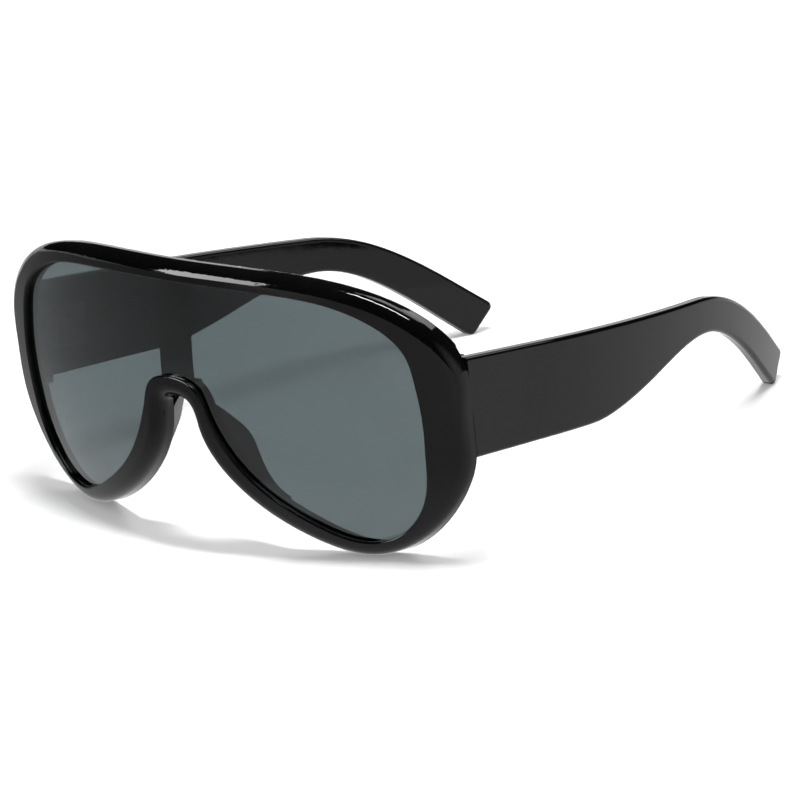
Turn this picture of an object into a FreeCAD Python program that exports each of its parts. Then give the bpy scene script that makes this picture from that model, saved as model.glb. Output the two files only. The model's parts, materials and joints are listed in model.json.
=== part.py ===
# Oversized shield sunglasses, standing on the lower rim and the ear tips
import FreeCAD, Part
import math
import os
from FreeCAD import Placement, Rotation, Vector

# Driving sizes in millimetres. They are read in the wearing frame: x to the wearer's left,
# y back along the temples from the joint with the front, z up from the temples' top edge.
sizes = {
    "half_width": 70.0,          # middle to the outer face of a temple
    "front_radius": 142.5,       # ball that the front bulges on
    "side_wall": 6.0,            # face of the front ahead of the joint, at the half width
    "apex_height": 4.6,          # foremost point, above the temples' top edge
    "brow_height": 11.4,         # top of the opening
    "cheek_drop": 42.7,          # bottom of the opening
    "arch_drop": 9.7,            # opening over the nose
    "brow_rim": 4.5,             # widths of the rim round the opening
    "side_rim": 8.1,
    "cheek_rim": 3.3,
    "nose_rim": 5.4,
    "rim_depth": 5.0,
    "rim_round": 3.0,
    "edge_round": 0.8,
    "opening_round": 0.4,        # inner edge of the rim's face
    "lens_recess": 1.2,          # lens face behind the rim's face
    "lens_thickness": 1.6,
    "groove_depth": 1.0,
    "groove_clearance": 0.04,
    "bar_half_width": 4.4,
    "bar_thickness": 1.3,
    "pad_thickness": 2.2,
    "pad_reach": 13.9,           # back edge of the nose pads, behind the foremost point
    "pad_flare": 2.8,            # how far the pads spread from front to back
    "temple_length": 125.2,
    "temple_height": 22.2,
    "temple_thickness": 3.4,
    "temple_round": 0.9,
    "tip_round": 1.4,
    "tip_drop": 20.1,            # upper corner of the ear tip, below the top edge
    "waist_drop": 8.2,           # underside at the narrowest place, over the ear
    "ear_height": 8.9,           # end of the ear tip
    "straight_length": 22.0,     # flat stretch of the temple before it curls in
    "curl_radius": 242.0,
    "joint_gap": 0.15,
    "joint_slant": 2.9,          # top of the joint ahead of its foot
    "end_depth": 12.0,           # block behind the rim that carries the hinge
    "hinge_drop": 11.1,          # middle of the hinge, below the top edge
    "knuckle_radius": 1.6,
    "knuckle_height": 2.0,
    "axial_gap": 0.06,
    "leaf_gap": 0.3,
    "leaf_width": 3.2,
    "front_leaf_height": 18.0,
    "front_leaf_thickness": 1.0,
    "temple_leaf_length": 14.0,
    "temple_leaf_thickness": 0.8,
    "pin_radius": 0.7,
    "pin_clearance": 0.03,
    "pin_head_radius": 1.3,
    "pin_head_height": 0.8,
    "screw_radius": 0.6,
    "screw_length": 2.8,
    "screw_head_radius": 1.1,
    "screw_head_height": 0.4,
    "slot_width": 0.3,
}
knuckle_count = 5                # the front leaf has the first, third and fifth
prism_start = -60.0              # outlines are swept through the whole front from here
prism_depth = 100.0

doc = FreeCAD.newDocument("sunglasses")
sheet = doc.addObject("Spreadsheet::Sheet", "Sizes")
for row, (alias, value) in enumerate(sizes.items(), 1):
    sheet.set(f"A{row}", alias)
    sheet.set(f"B{row}", str(value))
    sheet.setAlias(f"B{row}", alias)
doc.recompute()


def size(alias):
    return float(sheet.get(alias))


def bound(alias):
    return f"Sizes.{alias}"


# Foremost point ahead of the joint's foot, and half the width of the opening
front_apex = f"({bound('front_radius')} - sqrt({bound('front_radius')}^2 - {bound('half_width')}^2)" \
             f" + {bound('side_wall')})"
apex_reach = size("front_radius") + size("side_wall") \
    - math.sqrt(size("front_radius")**2 - size("half_width")**2)
opening_reach = size("half_width") - size("side_rim")


# Objects whose sizes are bound to the sheet
def add(kind, name, **expressions):
    made = doc.addObject(kind, name)
    for prop, expression in expressions.items():
        made.setExpression(prop.replace("_", "."), expression)
    return made


def box(name, corner, extent):
    made = add("Part::Box", name, Length=extent[0], Width=extent[1], Height=extent[2])
    for axis, expression in zip("xyz", corner):
        made.setExpression(f"Placement.Base.{axis}", expression)
    return made


def cylinder(name, base, radius, height, direction=Vector(0, 0, 1)):
    made = add("Part::Cylinder", name, Radius=radius, Height=height)
    made.Placement = Placement(Vector(), Rotation(Vector(0, 0, 1), direction))
    for axis, expression in zip("xyz", base):
        made.setExpression(f"Placement.Base.{axis}", expression)
    return made


def joined(name, shapes):
    made = doc.addObject("Part::MultiFuse", name)
    made.Shapes = shapes
    made.Refine = True
    return made


def shared(name, shapes):
    made = doc.addObject("Part::MultiCommon", name)
    made.Shapes = shapes
    return made


def cut(name, base, tool):
    made = doc.addObject("Part::Cut", name)
    made.Base = base
    made.Tool = tool
    return made


def group(name, shapes):
    made = doc.addObject("Part::Compound", name)
    made.Links = shapes
    return made


def drawn(name, shape):
    made = doc.addObject("Part::Feature", name)
    made.Shape = shape
    return made


# Balls concentric with the front, and the layers between two of them
def ball(name, inset):
    made = add("Part::Sphere", name, Radius=f"{bound('front_radius')} - ({inset})")
    made.setExpression("Placement.Base.y", f"{bound('front_radius')} - {front_apex}")
    made.setExpression("Placement.Base.z", bound("apex_height"))
    return made


def layer(name, outer_inset, inner_inset):
    return cut(name, ball(f"{name}_outside", outer_inset), ball(f"{name}_inside", inner_inset))


# Outlines of the front, drawn for the left half and mirrored
def opening_half():
    wide, brow = opening_reach, size("brow_height")
    cheek, arch = size("cheek_drop"), size("arch_drop")
    brow_rim, side_rim = size("brow_rim"), size("side_rim")
    cheek_rim, nose_rim = size("cheek_rim"), size("nose_rim")
    # Place of each point on the opening, and the rim's width there
    return [
        (Vector(0, 0, brow), brow_rim),
        (Vector(0.45*wide, 0, 0.98*brow), brow_rim),
        (Vector(0.83*wide, 0, 0.60*brow), 1.15*brow_rim),
        (Vector(0.96*wide, 0, 0), 0.9*side_rim),
        (Vector(0.984*wide, 0, -0.12*cheek), 1.14*side_rim),
        (Vector(wide, 0, -0.34*cheek), side_rim),
        (Vector(0.993*wide, 0, -0.52*cheek), 1.03*side_rim),
        (Vector(0.974*wide, 0, -0.70*cheek), 0.7*side_rim),
        (Vector(0.85*wide, 0, -0.945*cheek), 0.85*cheek_rim),
        (Vector(0.724*wide, 0, -cheek), cheek_rim),
        (Vector(0.53*wide, 0, -0.92*cheek), 1.35*cheek_rim),
        (Vector(0.276*wide, 0, -0.673*cheek), nose_rim),
        (Vector(0.153*wide, 0, -0.387*cheek), nose_rim),
        (Vector(0, 0, -arch), 0.87*nose_rim),
    ]


def mirrored_x(point):
    return Vector(-point.x, point.y, point.z)


def offset_points(offset):
    half = opening_half()
    points = [point for point, width in half]
    before = [mirrored_x(points[1])] + points[:-1]
    after = points[1:] + [mirrored_x(points[-2])]
    moved = []
    for (point, width), last, following in zip(half, before, after):
        along = following - last
        outward = Vector(-along.z, 0, along.x).normalize()
        moved.append(point + outward*offset(width))
    return moved


def smooth_curve(points, start=None, end=None):
    curve = Part.BSplineCurve()
    if start:
        curve.interpolate(Points=points, InitialTangent=start, FinalTangent=end)
    else:
        curve.interpolate(Points=points)
    return curve.toShape()


def swept(name, face, direction, length):
    made = doc.addObject("Part::Extrusion", name)
    made.Base = drawn(f"{name}_face", face)
    made.DirMode = "Custom"
    made.Dir = direction
    made.LengthFwd = length
    made.Solid = True
    return made


def front_prism(name, offset):
    left = smooth_curve(offset_points(offset), Vector(1, 0, 0), Vector(-1, 0, 0))
    right = left.mirror(Vector(), Vector(1, 0, 0))
    face = Part.Face(Part.Wire(Part.__sortEdges__([left, right])))
    face.translate(Vector(0, prism_start, 0))
    return swept(name, face, Vector(0, 1, 0), prism_depth)


# Lens: a bent sheet that fills the opening and sits in the rim's groove
lens_front = bound("lens_recess")
lens_back = f"{bound('lens_recess')} + {bound('lens_thickness')}"
lens_sheet = layer("lens_sheet", lens_front, lens_back)
lens_prism = front_prism("lens_prism", lambda width: size("groove_depth"))
shield_lens = shared("shield_lens", [lens_sheet, lens_prism])

# Rim: a ring round the opening, with a block at each end for the hinge
outer_prism = front_prism("outer_prism", lambda width: width)
opening_prism = front_prism("opening_prism", lambda width: 0)
ring = cut("ring", outer_prism, opening_prism)
rim_layer = layer("rim_layer", "0", bound("rim_depth"))
rim = shared("rim", [ring, rim_layer])
hinge_x = f"({bound('half_width')} - {bound('temple_thickness')} - {bound('knuckle_radius')}" \
          f" - {bound('leaf_gap')})"
hinge_y = f"({bound('knuckle_radius')} + {bound('leaf_gap')})"
hinge_z = f"(-{bound('hinge_drop')})"
end_inner = f"({hinge_x} - {bound('leaf_width')}/2 - {bound('front_leaf_thickness')})"
end_ball = ball("end_ball", f"{bound('rim_depth')} - {bound('edge_round')}")
temple_inner = f"({bound('half_width')} - {bound('temple_thickness')})"
beyond = 2*size("half_width")


def end_block(side, sign):
    start = end_inner if sign > 0 else f"-{bound('half_width')} - {bound('side_rim')}"
    block = box(f"end_block_{side}", (start, f"-{bound('end_depth')}", f"-{bound('temple_height')}"),
                (f"{bound('half_width')} + {bound('side_rim')} - {end_inner}", bound("end_depth"),
                 bound("temple_height")))
    return shared(f"end_piece_{side}", [block, outer_prism, end_ball])


# Joint face: it leans forward to the top beside the hinge block, where the temple meets the rim
def leaning_joint(side, sign):
    tall, slant = size("temple_height"), size("joint_slant")
    x = sign*(size("half_width") - size("temple_thickness") - size("joint_gap"))
    corners = [Vector(x, 0, -tall), Vector(x, -2*slant, tall), Vector(x, 0, tall), Vector(x, 0, -tall)]
    return swept(f"leaning_joint_{side}", Part.Face(Part.makePolygon(corners)), Vector(sign, 0, 0), beyond)


sides = (("left", 1), ("right", -1))
rim_and_blocks = joined("rim_and_blocks", [rim] + [end_block(*side) for side in sides])
behind_joint = box("behind_joint", (f"-2 * {bound('half_width')}", "0", f"-2 * {bound('cheek_drop')}"),
                   (f"4 * {bound('half_width')}", bound("end_depth"), f"4 * {bound('cheek_drop')}"))
joint_tools = joined("joint_tools", [behind_joint] + [leaning_joint(*side) for side in sides])
rim_blank = cut("rim_blank", rim_and_blocks, joint_tools)
doc.recompute()


def on_ball(edge, inset):
    middle = Vector(0, size("front_radius") - apex_reach, size("apex_height"))
    first, last = edge.ParameterRange
    spots = [edge.valueAt(first + share*(last - first)) for share in (0.0, 0.37, 0.8)]
    return all(abs((spot - middle).Length - size("front_radius") + inset) < 1e-3 for spot in spots)


def front_edges(shape, outer):
    limit = opening_reach + size("groove_depth")
    found = []
    for edge in shape.Edges:
        reach = max(abs(edge.BoundBox.XMin), abs(edge.BoundBox.XMax))
        if on_ball(edge, 0) and (reach > limit) == outer:
            found.append(edge)
    return found


def brow_back_edges(shape):
    above = size("brow_height") + size("brow_rim")/2
    return [edge for edge in shape.Edges
            if on_ball(edge, size("rim_depth")) and edge.BoundBox.ZMax > above]


def rounded_rim(shape):
    shape = shape.makeFillet(size("rim_round"), front_edges(shape, True))
    shape = shape.makeFillet(size("edge_round"), brow_back_edges(shape))
    return shape.makeFillet(size("opening_round"), front_edges(shape, False))


rim_rounded = drawn("rim_rounded", rounded_rim(rim_blank.Shape))
groove_prism = front_prism("groove_prism",
                           lambda width: size("groove_depth") + size("groove_clearance"))
groove_layer = layer("groove_layer", f"{lens_front} - {bound('groove_clearance')}",
                     f"{lens_back} + {bound('groove_clearance')}")
groove = shared("groove", [groove_prism, groove_layer])

# Hinge: leaves, pin and screws of one side
knuckle_foot = f"{hinge_z} - {knuckle_count} * {bound('knuckle_height')} / 2"


def mirrored(expression, sign):
    return expression if sign > 0 else f"-({expression})"


def side_box(name, sign, x_range, y_range, z_range):
    low, high = x_range if sign > 0 else (f"-({x_range[1]})", f"-({x_range[0]})")
    return box(name, (low, y_range[0], z_range[0]),
               (f"({high}) - ({low})", f"({y_range[1]}) - ({y_range[0]})",
                f"({z_range[1]}) - ({z_range[0]})"))


def knuckle_span(index, gap):
    low = f"{knuckle_foot} + {index} * {bound('knuckle_height')} + {gap}"
    return low, f"{low} + {bound('knuckle_height')} - 2 * {gap}"


def barrel(name, sign, index, gap):
    low, high = knuckle_span(index, gap)
    return cylinder(name, (mirrored(hinge_x, sign), hinge_y, low), bound("knuckle_radius"),
                    f"({high}) - ({low})")


def pin_hole(name, sign, clearance):
    return cylinder(name, (mirrored(hinge_x, sign), hinge_y, knuckle_foot),
                    f"{bound('pin_radius')} + {clearance}",
                    f"{knuckle_count} * {bound('knuckle_height')}")


def screw_body(name, base, direction):
    shaft = cylinder(f"{name}_shaft", base, bound("screw_radius"), bound("screw_length"), direction)
    head = cylinder(f"{name}_head", base, bound("screw_head_radius"), bound("screw_head_height"),
                    direction)
    return joined(name, [shaft, head])


def front_screw_places(sign):
    rise = f"({bound('front_leaf_height')}/2 - 1.6 * {bound('screw_head_radius')})"
    return [(mirrored(hinge_x, sign), "0", f"{hinge_z} + {rise}"),
            (mirrored(hinge_x, sign), "0", f"{hinge_z} - {rise}")]


def temple_screw_places(sign):
    return [(mirrored(temple_inner, sign), f"{share} * {bound('temple_leaf_length')}", hinge_z)
            for share in (0.45, 0.82)]


def slotted(name, screws, places, direction):
    slots = []
    for index, place in enumerate(places):
        wide = f"2 * {bound('screw_head_radius')}"
        thin = bound("slot_width")
        deep = bound("screw_head_height")
        if abs(direction.y) > 0:
            corner = (f"{place[0]} - {wide}/2", f"-{deep}/2", f"{place[2]} - {thin}/2")
            extent = (wide, deep, thin)
        else:
            corner = (f"{place[0]} - {deep}/2", f"{place[1]} - {thin}/2", f"{place[2]} - {wide}/2")
            extent = (deep, thin, wide)
        slots.append(box(f"{name}_slot_{index}", corner, extent))
    heads = [cut(f"{name}_{index}", screw, slot) for index, (screw, slot) in enumerate(zip(screws, slots))]
    return group(name, heads)


def leaf_tools(name, places, direction):
    return [screw_body(f"{name}_{index}", place, direction) for index, place in enumerate(places)]


def front_leaf(side, sign):
    name = f"front_leaf_{side}"
    half = f"{bound('leaf_width')}/2"
    tall = f"{bound('front_leaf_height')}/2"
    plate = side_box(f"{name}_plate", sign, (f"{hinge_x} - {half}", f"{hinge_x} + {half}"),
                     (f"-{bound('front_leaf_thickness')}", "0"),
                     (f"{hinge_z} - {tall}", f"{hinge_z} + {tall}"))
    pieces = [plate]
    for index in range(0, knuckle_count, 2):
        span = knuckle_span(index, "0")
        pieces.append(barrel(f"{name}_knuckle_{index}", sign, index, "0"))
        reach = bound("knuckle_radius")
        pieces.append(side_box(f"{name}_web_{index}", sign,
                               (f"{hinge_x} - {reach}", f"{hinge_x} + {reach}"),
                               (f"-{bound('front_leaf_thickness')}", hinge_y), span))
    solid = joined(f"{name}_solid", pieces)
    tools = leaf_tools(f"{name}_sink", front_screw_places(sign), Vector(0, -1, 0))
    leaf = cut(f"hinge_front_leaf_{side}", solid,
               joined(f"{name}_holes", tools + [pin_hole(f"{name}_bore", sign, "0")]))
    return plate, leaf


def temple_leaf(side, sign):
    name = f"temple_leaf_{side}"
    outer = f"{temple_inner} + {bound('temple_leaf_thickness')}"
    low, high = knuckle_span(0, "0")[0], knuckle_span(knuckle_count - 1, "0")[1]
    plate = side_box(f"{name}_plate", sign, (temple_inner, outer),
                     (bound("joint_gap"), bound("temple_leaf_length")), (low, high))
    pieces = [plate]
    for index in range(1, knuckle_count, 2):
        span = knuckle_span(index, bound("axial_gap"))
        pieces.append(barrel(f"{name}_knuckle_{index}", sign, index, bound("axial_gap")))
        pieces.append(side_box(f"{name}_web_{index}", sign, (hinge_x, outer),
                               (f"{hinge_y} - {bound('knuckle_radius')}",
                                f"{hinge_y} + {bound('knuckle_radius')}"), span))
    solid = joined(f"{name}_solid", pieces)
    tools = leaf_tools(f"{name}_sink", temple_screw_places(sign), Vector(sign, 0, 0))
    bore = pin_hole(f"{name}_bore", sign, bound("pin_clearance"))
    leaf = cut(f"hinge_temple_leaf_{side}", solid, joined(f"{name}_holes", tools + [bore]))
    return plate, leaf


def hinge_screw(side, sign):
    name = f"hinge_screw_{side}"
    top = f"{knuckle_foot} + {knuckle_count} * {bound('knuckle_height')}"
    at = (mirrored(hinge_x, sign), hinge_y)
    shaft = cylinder(f"{name}_shaft", (*at, knuckle_foot), bound("pin_radius"),
                     f"{knuckle_count} * {bound('knuckle_height')}")
    head = cylinder(f"{name}_head", (*at, top), bound("pin_head_radius"), bound("pin_head_height"))
    wide = f"2 * {bound('pin_head_radius')}"
    slot = box(f"{name}_slot", (f"{at[0]} - {wide}/2", f"{hinge_y} - {bound('slot_width')}/2",
                                f"{top} + {bound('pin_head_height')}/2"),
               (wide, bound("slot_width"), bound("pin_head_height")))
    return cut(name, joined(f"{name}_solid", [shaft, head]), slot)


# Temple: its side view, kept to a band that is straight and then curls in
def temple_side_view():
    long, tall = size("temple_length"), size("temple_height")
    tip, waist = size("tip_drop"), size("waist_drop")
    begin, slant = size("joint_gap"), size("joint_slant")

    def point(share, drop):
        return Vector(0, share*long, -drop)

    corner_top, corner_low = Vector(0, begin - slant, 0), Vector(0, begin, -tall)
    bend, tip_top, panel_end = point(0.638, 0), point(1, tip), point(0.232, 0.947*tall)
    before_tip = point(0.881, 0.503*tip)
    slope = (tip_top - before_tip).normalize()
    tip_low = tip_top + Vector(0, slope.z, -slope.y)*size("ear_height")
    top = smooth_curve([bend, point(0.755, 0.118*tip), before_tip, tip_top], Vector(0, 1, 0), slope)
    low = smooth_curve([tip_low, point(0.78, 0.623*tip), point(0.671, waist), point(0.562, 0.466*tall),
                        point(0.452, 0.702*tall), point(0.341, 0.898*tall), panel_end],
                       slope*-1, (corner_low - panel_end).normalize())
    edges = [Part.makeLine(corner_top, bend), top, Part.makeLine(tip_top, tip_low), low,
             Part.makeLine(panel_end, corner_low), Part.makeLine(corner_low, corner_top)]
    return Part.Face(Part.Wire(edges))


def temple_plan():
    outer, straight = size("half_width"), size("straight_length")
    radius, thick = size("curl_radius"), size("temple_thickness")
    begin = -2*size("joint_slant")
    turn = math.asin((1.05*size("temple_length") - straight)/radius)

    def on_arc(reach, angle):
        return Vector(outer - radius + reach*math.cos(angle), straight + reach*math.sin(angle), 0)

    def side_edges(reach):
        line = Part.makeLine(Vector(outer - radius + reach, begin, 0), on_arc(reach, 0))
        return line, Part.Arc(on_arc(reach, 0), on_arc(reach, turn/2), on_arc(reach, turn)).toShape()

    outside, outside_arc = side_edges(radius)
    inside, inside_arc = side_edges(radius - thick)
    tip_line = Part.makeLine(on_arc(radius, turn), on_arc(radius - thick, turn))
    end_line = Part.makeLine(inside.Vertexes[0].Point, outside.Vertexes[0].Point)
    return Part.Face(Part.Wire([outside, outside_arc, tip_line, inside_arc, inside, end_line]))


temple_view = swept("temple_view", temple_side_view(), Vector(1, 0, 0), beyond)
temple_band_face = temple_plan()
temple_band_face.translate(Vector(0, 0, -2*size("temple_height")))
temple_band = swept("temple_band", temple_band_face, Vector(0, 0, 1), 3*size("temple_height"))
temple_blank = shared("temple_blank", [temple_view, temple_band])
doc.recompute()


def rounded_temple(shape):
    short = 1.5*size("temple_thickness")
    tip_edges = [edge for edge in shape.Edges
                 if edge.Length < short and edge.BoundBox.YMin > 0.9*size("temple_length")]
    shape = shape.makeFillet(size("tip_round"), tip_edges)
    joint = size("joint_gap") + size("groove_clearance")
    long_edges = [edge for edge in shape.Edges if edge.Length > short and edge.BoundBox.YMax > joint]
    return shape.makeFillet(size("temple_round"), long_edges)


temple_smooth = {"left": rounded_temple(temple_blank.Shape)}
temple_smooth["right"] = temple_smooth["left"].mirror(Vector(), Vector(1, 0, 0))


# Bridge moulding: a thin bar behind the lens, a foot in the back of the arch, and the two nose pads
def pad_section(y, spread):
    inset = size("edge_round")/2
    sections = []
    for depth in (inset, inset + size("pad_thickness")):
        points = offset_points(lambda width: width - depth)[-4:]
        points[0] = points[1]*0.6 + points[0]*0.4
        half = [Vector(point.x + spread, y, point.z) for point in points[:-1]]
        top = Vector(0, y, points[-1].z)
        sections.append(half + [top] + [mirrored_x(point) for point in reversed(half)])
    curves = [smooth_curve(points) for points in sections]
    ends = [Part.makeLine(sections[0][place], sections[1][place]) for place in (0, -1)]
    return Part.Wire(Part.__sortEdges__(curves + ends))


# Shoulder: the pads deepen from the bar's back down to their full reach
def pad_shoulder(front, back):
    start = Vector(-beyond/2, front + 0.1*(back - front), -size("arch_drop") - 0.6*size("nose_rim"))
    finish = Vector(start.x, back, -0.58*size("cheek_drop"))
    run, drop = finish.y - start.y, finish.z - start.z
    curve = smooth_curve([start, start + Vector(0, 0.44*run, 0.3*drop),
                          start + Vector(0, 0.75*run, 0.555*drop), finish],
                         Vector(0, 1, -1), Vector(0, 0, -1))
    corners = [finish, finish + Vector(0, run, 0), start + Vector(0, 2*run, -drop),
               start + Vector(0, 0, -drop), start]
    return Part.Face(Part.Wire([curve] + Part.makePolygon(corners).Edges))


pad_front = size("rim_depth") - apex_reach
pad_back = size("pad_reach") - apex_reach
pads = drawn("pads", Part.makeLoft([pad_section(pad_front, 0), pad_section(pad_back, size("pad_flare"))],
                                   True, True))
shoulder = swept("shoulder", pad_shoulder(pad_front, pad_back), Vector(1, 0, 0), beyond)
shaped_pads = cut("shaped_pads", pads, shoulder)
pads_behind_rim = shared("pads_behind_rim", [shaped_pads, ball("rim_back", bound("rim_depth"))])
bar_top = f"{lens_back} + {bound('groove_clearance')}"
bar_foot = f"-{bound('arch_drop')} - 0.85 * {bound('nose_rim')}"
foot_top = f"-{bound('arch_drop')} - {bound('edge_round')}"
notch_top = f"-{bound('arch_drop')} + {bound('bar_thickness')}"
foot_back = f"{bound('rim_depth')} + {bound('bar_thickness')}"


def bar_piece(name, half_width, low, high, back):
    block = box(f"{name}_block", (f"-({half_width})", f"-{front_apex}", low),
                (f"2 * ({half_width})", front_apex, f"{high} - ({low})"))
    return shared(name, [block, layer(f"{name}_layer", bar_top, back)])


bar = bar_piece("bar", bound("bar_half_width"), bar_foot, bound("brow_height"),
                f"{bar_top} + {bound('bar_thickness')}")
foot = bar_piece("foot", bound("bar_half_width"), bar_foot, foot_top, foot_back)
notch = bar_piece("notch", f"{bound('bar_half_width')} + {bound('groove_clearance')}",
                  f"{bar_foot} - {bound('groove_clearance')}", notch_top, foot_back)
bridge_blank = joined("bridge_blank", [bar, foot, pads_behind_rim])

# The two sides
front_tools = [groove, notch]
sub_parts = {"shield_lens": shield_lens}
for side, sign in sides:
    front_plate, sub_parts[f"hinge_front_leaf_{side}"] = front_leaf(side, sign)
    temple_plate, sub_parts[f"hinge_temple_leaf_{side}"] = temple_leaf(side, sign)
    sub_parts[f"hinge_screw_{side}"] = hinge_screw(side, sign)
    places = front_screw_places(sign)
    forward, outward = Vector(0, -1, 0), Vector(sign, 0, 0)
    front_tools.append(front_plate)
    front_tools += leaf_tools(f"front_holes_{side}", places, forward)
    screws = leaf_tools(f"front_screw_{side}", places, forward)
    sub_parts[f"front_leaf_screws_{side}"] = slotted(f"front_leaf_screws_{side}", screws, places, forward)
    places = temple_screw_places(sign)
    screws = leaf_tools(f"temple_screw_{side}", places, outward)
    sub_parts[f"temple_leaf_screws_{side}"] = slotted(f"temple_leaf_screws_{side}", screws, places, outward)
    smooth = drawn(f"temple_smooth_{side}", temple_smooth[side])
    holes = leaf_tools(f"temple_holes_{side}", places, outward)
    sub_parts[f"temple_{side}"] = cut(f"temple_{side}", smooth,
                                      joined(f"temple_tools_{side}", [temple_plate] + holes))
rim_finished = cut("rim_finished", rim_rounded, joined("front_tools", front_tools))
sub_parts["front_frame"] = doc.addObject("Part::Refine", "front_frame")
sub_parts["front_frame"].Source = rim_finished
sub_parts["nose_bridge"] = cut("nose_bridge", bridge_blank, rim_finished)
doc.recompute()


# Standing pose: tilted about the x axis until the rim and the ear tips share one floor
def cloud(node):
    return sub_parts[node].Shape.tessellate(0.05)[0]


rim_points, tip_points = cloud("front_frame"), cloud("temple_left")


def lowest(points, angle):
    return min(point.y*math.sin(angle) + point.z*math.cos(angle) for point in points)


steep, level = math.radians(-30), 0.0
for halving in range(40):
    tilt = (steep + level)/2
    if lowest(tip_points, tilt) > lowest(rim_points, tilt):
        level = tilt
    else:
        steep = tilt
depths = [point.y*math.cos(tilt) - point.z*math.sin(tilt) for point in rim_points + tip_points]
shift = Vector(0, -(min(depths) + max(depths))/2, -lowest(rim_points, tilt))
standing = Placement(shift, Rotation(Vector(1, 0, 0), math.degrees(tilt)))

for node, piece in sub_parts.items():
    piece.Label = node
    piece.Placement = standing
doc.recompute()

for made in doc.Objects:
    if "Invalid" in made.State or "Error" in made.State:
        raise RuntimeError(f"{made.Label} did not build")
for node, piece in sub_parts.items():
    if piece.Shape.isNull() or not piece.Shape.isValid():
        raise RuntimeError(f"{node} is not a valid shape")

os.makedirs("parts", exist_ok=True)
for node, piece in sub_parts.items():
    piece.Shape.exportStep(f"parts/{node}.step")
    print(node, len(piece.Shape.Solids), round(piece.Shape.Volume, 2))
print("tilt", math.degrees(tilt), "shift", shift)
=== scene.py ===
import json
import math
import bpy
import bmesh
from mathutils import Matrix, Vector

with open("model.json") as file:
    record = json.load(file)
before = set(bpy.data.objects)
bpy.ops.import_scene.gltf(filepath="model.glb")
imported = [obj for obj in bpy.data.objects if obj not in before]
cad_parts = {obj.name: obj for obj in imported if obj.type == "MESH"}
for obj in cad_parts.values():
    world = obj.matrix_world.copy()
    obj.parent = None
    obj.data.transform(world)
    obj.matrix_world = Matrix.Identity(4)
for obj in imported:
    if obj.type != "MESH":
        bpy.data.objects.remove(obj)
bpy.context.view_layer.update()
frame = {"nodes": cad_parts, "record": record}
nodes = frame["nodes"]
scene = bpy.context.scene
scene.view_settings.view_transform = "Standard"
print("frame loaded:", len(nodes), "nodes")


# shader maths: a socket that takes part in Python expressions
class Socket:
    def __init__(self, tree, link):
        self.tree = tree
        self.link = link

    def math(self, operation, first, second):
        return self.tree.node("ShaderNodeMath", {"operation": operation}, {0: first, 1: second})

    def __add__(self, other):
        return self.math("ADD", self, other)

    def __radd__(self, other):
        return self.math("ADD", other, self)

    def __mul__(self, other):
        return self.math("MULTIPLY", self, other)

    def __rmul__(self, other):
        return self.math("MULTIPLY", other, self)


class Tree:
    def __init__(self, owner):
        owner.use_nodes = True
        self.nodes = owner.node_tree.nodes
        self.links = owner.node_tree.links
        self.nodes.clear()

    # adds a node from its type, its settings and the values or links of its sockets
    def node(self, kind, settings=None, sockets=None, output=0):
        made = self.nodes.new(kind)
        for name, value in (settings or {}).items():
            setattr(made, name, value)
        for name, value in (sockets or {}).items():
            if isinstance(value, Socket):
                self.links.new(value.link, made.inputs[name])
            else:
                made.inputs[name].default_value = value
        return Socket(self, made.outputs[output]) if made.outputs else None

    def coords(self, scale=(1, 1, 1), turn=(0, 0, 0)):
        place = self.node("ShaderNodeTexCoord", output="Object")
        return self.node("ShaderNodeMapping", {}, {"Vector": place, "Rotation": turn, "Scale": scale})

    def along(self, axis):
        return self.node("ShaderNodeSeparateXYZ", {}, {"Vector": self.coords()}, axis)

    def noise(self, vector, scale, detail):
        return self.node("ShaderNodeTexNoise", {},
                         {"Vector": vector, "Scale": scale, "Detail": detail, "Roughness": 0.55})

    def ramp(self, value, low, high):
        return self.node("ShaderNodeMapRange", {"clamp": True},
                         {"Value": value, "From Min": low, "From Max": high})

    # sockets 0, 6 and 7 of a Mix node are its factor and its two colours
    def blend(self, factor, first, second):
        return self.node("ShaderNodeMix", {"data_type": "RGBA"}, {0: factor, 6: first, 7: second}, 2)

    def bump(self, height, strength, distance):
        return self.node("ShaderNodeBump", {},
                         {"Height": height, "Strength": strength, "Distance": distance})

    def principled(self, sockets):
        shader = self.node("ShaderNodeBsdfPrincipled", {}, sockets)
        self.node("ShaderNodeOutputMaterial", {}, {"Surface": shader})


def newMaterial(name):
    made = bpy.data.materials.new(name)
    return made, Tree(made)


# polished black plastic: a faint orange peel, hairline wipe marks and finger haze in the gloss
plastic = {
    "black": (0.002, 0.002, 0.0022, 1), "wornBlack": (0.006, 0.006, 0.0063, 1), "sheen": 1.31,
    "gloss": 0.04, "haze": 0.06, "wipe": 0.04, "speck": 0.05,  # roughness, and what marks add to it
    "hazeScale": 38, "hazeRange": (0.45, 0.75),
    "wipeScale": (260, 30, 1500), "wipeTurn": (0.2, 0.1, 0.4), "wipeRange": (0.55, 0.8),
    "speckScale": 900, "speckRange": (0.66, 0.74),
    "peelScale": 420, "peelStrength": 0.25, "peelDepth": 0.00002,
}


def glossyPlastic(name, look):
    made, tree = newMaterial(name)
    place = tree.coords()
    wipePlace = tree.coords(look["wipeScale"], look["wipeTurn"])
    haze = tree.ramp(tree.noise(place, look["hazeScale"], 5), *look["hazeRange"])
    wipe = tree.ramp(tree.noise(wipePlace, 1, 3), *look["wipeRange"])
    speck = tree.ramp(tree.noise(place, look["speckScale"], 2), *look["speckRange"])
    peel = tree.noise(place, look["peelScale"], 2)
    tree.principled({
        "Base Color": tree.blend(haze*0.5 + speck*0.5, look["black"], look["wornBlack"]),
        "Roughness": haze*look["haze"] + wipe*look["wipe"] + speck*look["speck"] + look["gloss"],
        "IOR": look["sheen"],
        "Normal": tree.bump(peel, look["peelStrength"], look["peelDepth"])})
    return made


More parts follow.
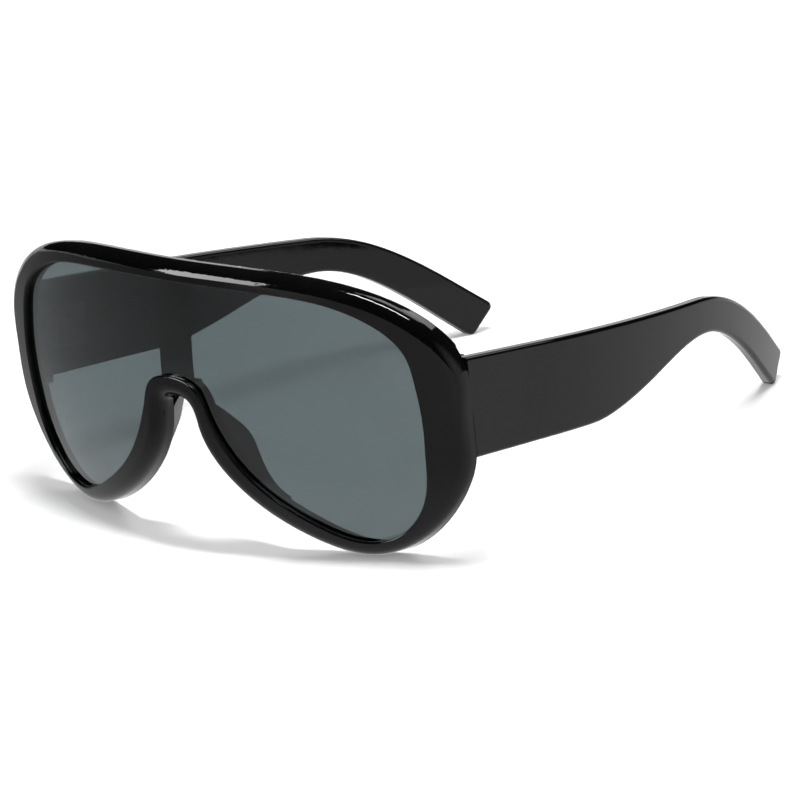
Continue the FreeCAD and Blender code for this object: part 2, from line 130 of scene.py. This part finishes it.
# smoke lens: clear tinted sheet with a breath of smudges and dust
lens = {
    "tint": (0.079, 0.103, 0.108, 1), "smudgeTint": (0.088, 0.112, 0.117, 1), "bend": 1.49,
    "smudge": 0.03, "dust": 0.08,  # roughness on the clear gloss
    "smudgeScale": (18, 18, 26), "smudgeRange": (0.56, 0.8),
    "dustScale": 1600, "dustRange": (0.74, 0.78),
}


def smokeLens(name, look):
    made, tree = newMaterial(name)
    smudge = tree.ramp(tree.noise(tree.coords(look["smudgeScale"]), 1, 5), *look["smudgeRange"])
    dust = tree.ramp(tree.noise(tree.coords(), look["dustScale"], 1), *look["dustRange"])
    tree.principled({
        "Base Color": tree.blend(smudge*0.6 + dust*0.4, look["tint"], look["smudgeTint"]),
        "Roughness": smudge*look["smudge"] + dust*look["dust"],
        "IOR": look["bend"], "Transmission Weight": 1})
    return made


# hinge metal: black plated, with a brushed grain and a few spots rubbed lighter
metal = {
    "plated": (0.02, 0.02, 0.021, 1), "rubbed": (0.07, 0.068, 0.064, 1),
    "gloss": 0.18, "grain": 0.2, "stain": 0.12,  # roughness, and what the marks add to it
    "stainScale": 300, "stainRange": (0.4, 0.7),
    "stampedGrain": (400, 400, 9000), "turnedGrain": (5000, 5000, 5000),
    "grainStrength": 0.3, "grainDepth": 0.00001,
}


def brushedMetal(name, look, grain):
    made, tree = newMaterial(name)
    lines = tree.noise(tree.coords(grain), 1, 3)
    stain = tree.ramp(tree.noise(tree.coords(), look["stainScale"], 4), *look["stainRange"])
    tree.principled({
        "Base Color": tree.blend(stain, look["plated"], look["rubbed"]), "Metallic": 1,
        "Roughness": lines*look["grain"] + stain*look["stain"] + look["gloss"],
        "Normal": tree.bump(lines, look["grainStrength"], look["grainDepth"])})
    return made


finishes = {
    "black_plastic": glossyPlastic("polishedBlackPlastic", plastic),
    "smoke_lens": smokeLens("smokeLensTint", lens),
    "hinge_metal": brushedMetal("stampedBlackPlate", metal, metal["stampedGrain"]),
    "screw_metal": brushedMetal("turnedBlackPlate", metal, metal["turnedGrain"]),
}
for part in frame["record"]["subparts"]:
    mesh = nodes[part["node"]].data
    mesh.materials.clear()
    mesh.materials.append(finishes[part["material_slot"]])
print("finishes:", ", ".join(finishes))


def grey(level):
    return level, level, level, 1


# puts a shape on the stage; what is only in the gloss shapes reflections and casts no shadow
def stagePiece(name, shape, material, onlyInGloss):
    mesh = bpy.data.meshes.new(name)
    shape.to_mesh(mesh)
    shape.free()
    mesh.materials.append(material)
    made = bpy.data.objects.new(name, mesh)
    scene.collection.objects.link(made)
    if onlyInGloss:
        made.visible_camera = False
        made.visible_diffuse = False
        made.visible_transmission = False
        made.visible_shadow = False


# 1 for rays from the camera, from gloss and through the lens, which all meet the studio's white
def seenRays(tree):
    camera, glossy, through = [tree.node("ShaderNodeLightPath", output=f"Is {kind} Ray")
                               for kind in ("Camera", "Glossy", "Transmission")]
    return tree.ramp(camera + glossy + through, 0, 1)


# pale floor, lifted to white where it is seen and not in shadow
floor = {"size": 8.0, "pale": grey(0.8), "grain": grey(0.9), "grainScale": 40, "grainShare": 0.02,
         "lift": grey(0.22), "rough": 0.9}


def paleFloor(look):
    made, tree = newMaterial("paleFloor")
    grain = tree.noise(tree.coords(), look["grainScale"], 3)
    tree.principled({
        "Base Color": tree.blend(grain*look["grainShare"], look["pale"], look["grain"]),
        "Roughness": look["rough"], "Specular IOR Level": 0,
        "Emission Color": tree.blend(seenRays(tree), grey(0), look["lift"]), "Emission Strength": 1})
    return made


shape = bmesh.new()
bmesh.ops.create_grid(shape, x_segments=1, y_segments=1, size=floor["size"]/2)
stagePiece("floor", shape, paleFloor(floor), False)


# dark tent overhead that fades to the studio's white on the near side
tent = {"radius": 2.6, "edge": 0.3, "felt": grey(0.02), "weave": grey(0.03), "weaveScale": 60,
        "weaveShare": 0.3, "fade": (1.75, 2.4)}


def darkFelt(look):
    made, tree = newMaterial("darkFelt")
    weave = tree.noise(tree.coords(), look["weaveScale"], 2)
    nearSide = tree.ramp(tree.along("X"), *look["fade"])
    tree.principled({
        "Base Color": tree.blend(weave*look["weaveShare"], look["felt"], look["weave"]),
        "Roughness": 1, "Specular IOR Level": 0,
        "Emission Color": tree.blend(nearSide, grey(0), grey(1)), "Emission Strength": 1})
    return made


shape = bmesh.new()
bmesh.ops.create_uvsphere(shape, u_segments=48, v_segments=24, radius=tent["radius"])
below = [vertex for vertex in shape.verts if vertex.co.z < tent["edge"]]
bmesh.ops.delete(shape, geom=below, context="VERTS")
stagePiece("darkTent", shape, darkFelt(tent), True)


# low card in front, seen only in gloss, whose glow is painted reflection: darker to the far side and
# pale round the near side
card = {"radius": 0.34, "height": 0.075, "lie": 0.0008, "hole": 0.0068, "turn": 250, "steps": 45,
        "dark": grey(0.32), "light": grey(0.9), "pale": grey(1.2),
        "acrossFade": (-0.17, 0.17), "alongFade": (-0.1, -0.04), "nearFade": (-0.1, 0.02)}


def paintedReflectionCard(look):
    made, tree = newMaterial("glowingReflectionCard")
    across, along = tree.along("X"), tree.along("Y")
    front = tree.blend(tree.ramp(across, *look["acrossFade"]), look["dark"], look["light"])
    nearSide = tree.ramp(along, *look["alongFade"])*tree.ramp(across, *look["nearFade"])
    # painted reflection: the card only glows, darker to the far side and pale round the near side
    tree.principled({
        "Base Color": grey(0), "Roughness": 1, "Specular IOR Level": 0,
        "Emission Color": tree.blend(nearSide, front, look["pale"]), "Emission Strength": 1})
    return made


# its profile, a sheet with a low wall, is spun from the far side round the front
shape = bmesh.new()
profile = [shape.verts.new((-reach, 0, rise))
           for reach, rise in ((card["hole"], card["lie"]), (card["radius"], card["lie"]),
                               (card["radius"], card["height"]))]
edges = [shape.edges.new(pair) for pair in zip(profile, profile[1:])]
bmesh.ops.spin(shape, geom=profile + edges, cent=(0, 0, 0), axis=(0, 0, 1),
               angle=math.radians(card["turn"]), steps=card["steps"])
stagePiece("glowingReflectionCard", shape, paintedReflectionCard(card), True)

# white studio where it is seen, and a softer light from it on the surfaces
studio = {"white": grey(1), "ambient": 0.45}
world = bpy.data.worlds.new("studio")
scene.world = world
tree = Tree(world)
background = tree.node("ShaderNodeBackground", {}, {
    "Color": studio["white"],
    "Strength": seenRays(tree)*(1 - studio["ambient"]) + studio["ambient"]})
tree.node("ShaderNodeOutputWorld", {}, {"Surface": background})

# soft lamps; the front one makes only the streak along the brow
lamps = {
    "topSoftbox": {"place": (-0.1, 0.7, 0.85), "aim": (0, 0, 0), "size": (0.5, 0.5),
                   "power": 3, "lightsSurfaces": True},
    "overheadSoftbox": {"place": (0.13, 0, 1), "aim": (0.1, 0, 0), "size": (0.1, 0.5),
                        "power": 9, "lightsSurfaces": True},
    "frontSoftbox": {"place": (-0.62, -0.9, 0.42), "aim": (0, 0, 0.03), "size": (0.5, 0.4),
                     "power": 10, "lightsSurfaces": False},
}


def softLamp(name, look):
    data = bpy.data.lights.new(name, "AREA")
    data.shape = "RECTANGLE"
    data.size, data.size_y = look["size"]
    data.energy = look["power"]
    lamp = bpy.data.objects.new(name, data)
    lamp.location = look["place"]
    aim = Vector(look["aim"]) - Vector(look["place"])
    lamp.rotation_euler = aim.to_track_quat("-Z", "Y").to_euler()
    lamp.visible_diffuse = look["lightsSurfaces"]
    scene.collection.objects.link(lamp)


for name, look in lamps.items():
    softLamp(name, look)
print("stage lit")


# camera at the photograph's angle, in degrees, metres and, for the focal length, millimetres
shot = {"azimuth": 46.141, "elevation": 17.579, "roll": -7.387, "distance": 1.4595,
        "aim": (-0.0118, 0.00723, 0.00698), "focal": 287.59, "sensor": 36, "farthest": 20}


def turned(degrees, axis):
    return Matrix.Rotation(math.radians(degrees), 4, axis)


def photoCamera(look):
    data = bpy.data.cameras.new("photoCamera")
    data.sensor_width = look["sensor"]
    data.lens = look["focal"]
    data.clip_end = look["farthest"]
    camera = bpy.data.objects.new("photoCamera", data)
    turn = turned(look["azimuth"], "Z") @ turned(90 - look["elevation"], "X") @ turned(look["roll"], "Z")
    back = Matrix.Translation((0, 0, look["distance"]))
    camera.matrix_world = Matrix.Translation(look["aim"]) @ turn @ back
    scene.collection.objects.link(camera)
    scene.camera = camera


photoCamera(shot)
print("camera set")
